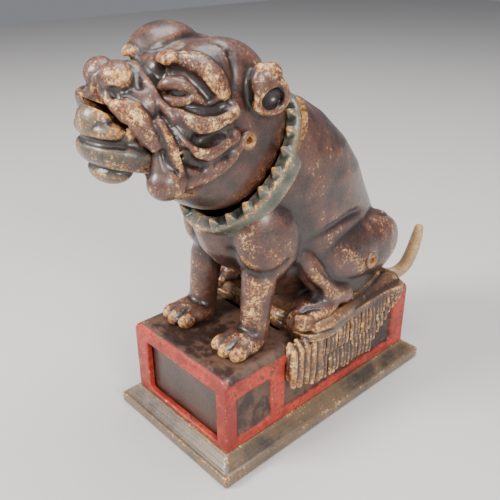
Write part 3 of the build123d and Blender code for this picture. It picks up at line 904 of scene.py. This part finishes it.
# cheeks and the wrinkles round them
lumps += roll((
    (13, -77, 168.5, 3.6), (18, -74, 161.5, 3.8), (21, -71.4, 155.5, 4.0), (22.6, -68.6, 149.5, 4.2),
    (23, -63.5, 146.6, 4.4), (22.6, -57, 147, 4.4), (21.6, -48.8, 149.6, 4),
))
lumps += roll((
    (18, -71.6, 162.4, 3.8), (21, -68.6, 159, 4.4), (22.4, -64.4, 156.6, 4.8), (23, -58, 157, 4.8),
    (22.6, -50.4, 159, 4.4),
))
lumps += roll((
    (21.4, -73.6, 138, 3.6), (22.2, -66.4, 137.6, 3.4), (22.6, -58, 138.9, 3.3), (22.8, -51, 142, 3.1),
    (22.4, -45, 146.4, 2.8),
))
lumps += egg((21, -63, 141.5), (5, 12, 6), (-8, 0, 0), pair=True)
lumps += egg((19, -68.5, 136), (4.6, 8, 4.6), (-10, 0, 0), pair=True)
lumps += egg((22.5, -58.5, 142), (4.4, 7, 5.4), pair=True)
# ears
lumps += egg((24.3, -34.4, 165.5), (4.8, 7.4, 9.6), (12, 0, 0), pair=True)
lumps += egg((25.2, -32.4, 170.4), (4.2, 6, 4.6), pair=True)
lumps += roll((
    (28.2, -27, 165.6, 1.6), (28.4, -26.4, 160.8, 1.6), (27.4, -29.5, 157.2, 1.5), (26.4, -35.4, 157, 1.5),
    (25.8, -39.6, 160, 1.5), (26, -39.4, 164.4, 1.6), (27, -34.8, 167.2, 1.7), (28.2, -30, 168, 1.7),
    (28.2, -27, 165.6, 1.6),
))
head = fuse("dog_head", lumps, 0.5, 3)
tool(head, (
    # furrows of the forehead and temples
    (((0, -64, 178), (0, -53.8, 181.5), (0, -41.8, 183), (0, -31, 181.5), (0, -24, 176)), 2.4, -1.6),
    (((2, -64, 178.6), (6, -58, 180), (10, -52, 181), (15, -47, 181)), 1.5, -0.7),
    (((19, -46, 178.5), (23, -47, 172), (24.6, -49, 165)), 1.6, -1.0),
    (((22.4, -39, 178), (24.2, -40, 171), (24.6, -41.4, 163)), 1.8, -1.2),
    # nose, bridge and the corner of the eye
    (((0, -92.5, 176), (0, -92, 171), (0, -91, 165)), 1.3, -2.2),
    (((9.6, -90.6, 169.9), (12.4, -88.6, 169.2)), 1.8, -3.2),
    (((4, -80, 177.6), (9, -80, 175.4), (12.6, -81.4, 171.6)), 1.7, -1.5),
    (((0, -72, 176.5), (6, -72, 175.5), (11, -72, 173.6)), 2.0, -1.4),
    (((13, -79.5, 169.8), (17.3, -77.4, 163.6), (20, -76.2, 158.5)), 1.4, -1.5),
    (((9.6, -71.6, 174.6), (13.6, -72.6, 171), (16, -73, 167.4)), 2.8, -3.0),
    (((12, -69.6, 175.4), (17, -67.4, 175.4), (21.4, -63.6, 171.4), (23.4, -60, 166)), 2.0, -2.2),
    # hollows between the wrinkles of the cheek, and the flews
    (((18.6, -71.2, 164.8), (22.4, -66, 163.6), (24.8, -59, 162), (26, -51, 163.4)), 2.0, -2.4),
    (((22, -73.2, 158.2), (23.6, -71, 154.4), (25, -67, 152), (26, -60, 152), (26, -54, 153.4)), 1.9, -3.4),
    (((24, -72.2, 149), (25, -69.6, 144.6), (26, -65.4, 142.2)), 1.9, -2.8),
    (((26.6, -60, 142.6), (26, -52, 145.4)), 1.5, -0.9),
    (((21.4, -79.6, 150), (22, -79.4, 144), (22, -81, 138.6)), 1.1, -1.4),
    (((24.8, -76.6, 143), (24.6, -77.6, 136.4)), 0.9, -1.3),
    (((26.4, -50.6, 151.4), (26.6, -49.4, 155)), 1.5, -1.3),
    (((16.8, -85.6, 166.4),), 1.6, 1.3),
    (((12.4, -86.4, 169.6), (16.4, -83.8, 168.8)), 1.2, -0.9),
))
# the mouth is open at the sides and below, and the rim leaves the collar free as the head turns
bay = [
    (-110, 171), (-94, 167.5), (-84, 162), (-75, 154), (-66, 149.5), (-51, 149.5),
    (-51, 137), (-58, 131), (-64, 128.5), (-66, 118), (-110, 118),
]
bay_side = [
    (-110, 167), (-94, 163), (-88, 159.8), (-80, 154.4), (-73, 150.5), (-66, 148.5), (-51, 148.5),
    (-51, 137), (-58, 131), (-64, 128.5), (-66, 118), (-110, 118),
]
rim_gap = [(neck_y, neck_z)] + [
    (neck_y + 60 * math.cos(turn), neck_z + 60 * math.sin(turn)) for turn in np.radians((-86, -54, -22))
]
cut(head, [
    neck_drum(wall), *egg((0, -54, 160), (18, 21, 16)),
    slab(bay, -8.5, 8.5), slab(bay_side, -16.4, 16.4), slab(rim_gap, -18.2, 18.2),
])
cut(head, egg((28.6, -33.2, 162), (4.2, 5.4, 4.3), (10, 0, 0), pair=True))
cut(head, egg(eye_place, (eye_radius,) * 3, pair=True))
lids = roll((
    (13.4, -73.2, 168.4, 1.0), (15.2, -73.4, 170.6, 1.9), (18.2, -72.2, 171.9, 2.3), (21.4, -69.4, 171.3, 2.1),
    (23, -66.4, 169, 1.3),
)) + roll((
    (13.4, -73.2, 167.8, 1.0), (16, -73.6, 166.8, 1.6), (19.2, -72.2, 166, 1.9), (22, -69, 166.2, 1.7),
    (23, -66.4, 168.2, 1.2),
))
cut(head, [fuse("lids", lids, 0.4, 1)], "UNION")
link_stud = bar((-41, 125), 1.8, -21.5, -8.4)
cut(head, [link_stud], "UNION")
cut(head, [bar((neck_y, neck_z), 3.0, -40, 40), bar((-60, 142), 1.5, -20, 20)])
halve(head, "head", ("head_left", "head_right"), brown_paint, (
    ((
        (8, -68, 178), (12, -63, 179.4), (17, -59.5, 178), (21.5, -58, 173.4), (24.6, -56.4, 167),
        (26, -52, 162),
    ), 5.0, 0.62),
    (((14, -50, 182), (20, -50, 179)), 3.0, 0.3),
    (((9, -90, 177), (12, -87, 174)), 3.4, 0.5),
    (((14, -91, 168), (18.6, -86, 162), (21, -82.5, 156)), 2.8, 0.5),
    (((22.4, -79.4, 158), (24, -77, 151), (25.4, -76, 144), (25, -77, 136)), 1.6, 0.7),
    (((19, -84.4, 143), (20, -84, 136), (21, -76, 132)), 2.6, 0.45),
    (((24.4, -72, 159.6), (26, -67, 158), (26.6, -60, 157)), 2.2, 0.28),
    (((24.6, -70, 135.4), (25, -60, 136.4), (25, -50, 140.4)), 2.0, 0.3),
    (((28, -36, 175), (30, -29, 172)), 3.0, 0.5),
    (((28.4, -37, 157), (27.4, -40, 163)), 1.6, 0.6),
))

# The lower jaw is one casting, a thick lip over two rolls of chin, with two arms that hang it
# on the thin pin between the flews. Its grey green is a painted reflection of cool light on
# the paint, which is worn off to bare copper.
lumps = egg((0, -91.6, 159.4), (8.6, 6.8, 7.8), (-12, 0, 0))
lumps += egg((0, -91, 156.4), (13.4, 6.8, 4.8), (-10, 0, 0))
lumps += roll(((0, -92, 149.6, 6.3), (8, -90, 148.8, 6.0), (12, -83, 146.2, 5.2), (12.4, -75, 143, 4.3)))
lumps += egg((0, -88, 141.6), (10.4, 7.4, 6.0)) + egg((0, -80, 146), (12.6, 11, 7))
lumps += roll(((10.5, -88, 154, 2.6), (12.6, -82, 150.4, 2.8), (13, -76, 147, 2.8)))
lumps += egg((11.8, -86, 155.2), (2.4, 2.6, 2.6), pair=True)
arms = frame_copy("lower_jaw")
cut(arms, [block((-30, -77, 100), (30, -30, 190))], "INTERSECT")
jaw = fuse("lower_jaw_cast", lumps, 0.5, 3)
bite = [
    (-112, 167.6), (-94.6, 165), (-84.6, 158.4), (-75.6, 150.2), (-66, 145), (-52, 145), (-52, 190),
    (-112, 190),
]
cut(jaw, [
    slab(bite, -20, 20), *egg((0, -80, 159), (9, 10.4, 11)), block((-30, -73, 100), (30, -30, 190)),
])
cut(jaw, [arms], "UNION")
tool(jaw, (
    (((0, -98, 153.6), (8, -96, 153.4), (13.6, -90, 152.6)), 1.2, -1.2),
    (((0, -95, 143.6), (8, -93, 143.4), (12, -87, 141.6)), 1.0, -0.8),
))
# The grey green of these two colours is a painted reflection of cool light.
jaw_paint = old_paint("worn_jaw_painted_cool_sheen", shade(44, 38, 30), shade(92, 88, 70), wear=0.3)
dress(jaw, "jaw", ("lower_jaw",), jaw_paint, (
    (((0, -93, 166), (7, -91.6, 163), (12.6, -90, 158.4)), 2.6, 0.85),
    (((12.4, -88, 157), (13.6, -84, 153), (15, -79, 148)), 2.8, 0.75),
    (((2, -98, 156), (9, -97, 153)), 2.6, 0.4),
    (((4, -98, 146), (12, -94, 145), (17, -84, 142.4)), 3.0, 0.7),
    (((0, -93, 137), (9, -88, 137)), 3.4, 0.6),
))

# The eyes are glass beads set in the sockets and held by the cast lids: dull amber with a black
# pupil that looks forward and a little out.
iris_radius = 6
for side, name in ((1, "left"), (-1, "right")):
    glass = Finish(f"amber_glass_{name}")
    look = Vector((side * 0.56, -0.8, -0.22)).normalized()
    centre = Vector((side * eye_place[0], *eye_place[1:])) * MM + look * eye_radius * MM
    away = glass.add("ShaderNodeVectorMath", {"operation": "DISTANCE"}, {0: glass.place, 1: centre}, "Value")
    pupil = away.ease(3.5 * MM, 3.8 * MM)
    amber = glass.ramp(away * (1 / (iris_radius * MM)), (
        (0.4, shade(70, 42, 18)), (0.66, shade(120, 82, 40)), (0.95, shade(62, 38, 22)),
    ))
    glass.feed(
        Base_Color=glass.blend(pupil, (*shade(14, 10, 9), 1), amber), Roughness=0.3, Coat_Weight=0.3,
    )
    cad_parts[f"glass_eye_{name}"].material_slots[0].material = glass.material

# Both pins are thick hollow rivets of brown steel with rolled-over ends; the ends stand proud of
# the castings and are polished by handling.
rivet_steel = old_paint("browned_steel", shade(44, 30, 24), shade(104, 78, 64), wear=-0.45)
for name, middle, reach, body, brim in (
    ("neck_pin", (neck_y, neck_z), 25.3, "head", 4.0), ("haunch_pin", haunch, 34.6, "body", 4.4),
):
    curl = 1.15
    lumps = [bar(middle, 2.95, -reach + 0.6, reach - 0.6)]
    for side in (1, -1):
        bpy.ops.object.select_all(action="DESELECT")
        bpy.ops.mesh.primitive_torus_add(
            major_segments=64, minor_segments=20, major_radius=(brim - curl) * MM, minor_radius=curl * MM,
            location=(side * (reach - 1.1) * MM, middle[0] * MM, middle[1] * MM), rotation=(0, math.pi / 2, 0),
        )
        lumps.append(bpy.context.object)
    rivet = fuse(f"{name}_rivet", lumps, 0.3, 2)
    cut(rivet, [bar(middle, 1.5, -50, 50)])
    dress(rivet, body, (name,), rivet_steel)

# The small steel parts keep the frame's own shapes: spring, pins, studs, link rod, locking bar
# and screws, turned or bent from bright steel that has gone dark with oil and rusted in spots.
oily_steel = Finish("oily_steel")
streak, rust = oily_steel.grain(3), oily_steel.grain(0.9, 5, 0.7, shift=2)
blotch = (streak * 0.6 + rust * 0.5).ease(0.55, 0.8)
oily_steel.feed(
    Base_Color=oily_steel.blend(blotch, (*shade(104, 98, 92), 1), (*shade(92, 58, 38), 1)),
    Metallic=1 - blotch * 0.8, Roughness=rust * 0.25 + blotch * 0.25 + 0.3,
)
oily_steel.dent(rust, 0.1)
for node in (
    "jaw_stud", "jaw_pin", "link_pin", "link_rod", "return_spring", "trap_bar", "trap_rivet",
    "base_screw_1", "base_screw_2", "base_screw_3", "base_screw_4",
):
    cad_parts[node].material_slots[0].material = oily_steel.material

# The tail is the handle: one casting with the lever inside, gripped so often that its paint has
# worn down to the cream ground coat.
lever_low, lever_high = -8.6, -5.6
rod_eye = (22, 101)
lumps = rope([(x, y, z, r) for x, y, z, r in curved((
    (0.2, 50, 55.5, 3.4), (1, 62, 46.8, 3.8), (3.5, 74, 39.4, 3.8), (9.5, 84, 36.2, 3.8), (14.2, 90.2, 41, 3.8),
    (15.8, 94.6, 50, 3.7), (16.2, 97.6, 59, 3.3), (16.2, 98.8, 63.6, 2.7),
), 4)])
lumps.append(bar(haunch, 6, lever_low, 7))
# three arms from the haunch pin: to the link rod, to the spring and to the tail
for stop, low, high, half in (
    (rod_eye, lever_low, lever_high, 4), ((4, 70), -2, 2, 2.5), ((56, 51), -2.5, 2.5, 4),
):
    run = np.array(stop, dtype=float) - haunch
    across = np.array((-run[1], run[0])) / np.linalg.norm(run) * half
    ends = ((haunch, 1), (haunch, -1), (stop, -1), (stop, 1))
    lumps.append(slab([tuple(np.array(end) + way * across) for end, way in ends], low, high))
    lumps.append(bar(stop, half, low, high))
tail = fuse("tail_casting", lumps, 0.5, 2)
cut(tail, [bar(haunch, 3.1, -30, 30), bar(rod_eye, 1.55, -30, 30)])
tail_paint = old_paint("worn_cream_tail", shade(132, 98, 62), shade(204, 176, 130), wear=0.3)
dress(tail, "tail", ("tail_lever",), tail_paint, (
    (((14, 90, 41), (16, 95, 52), (16.2, 99, 64)), 6, 0.3),
))
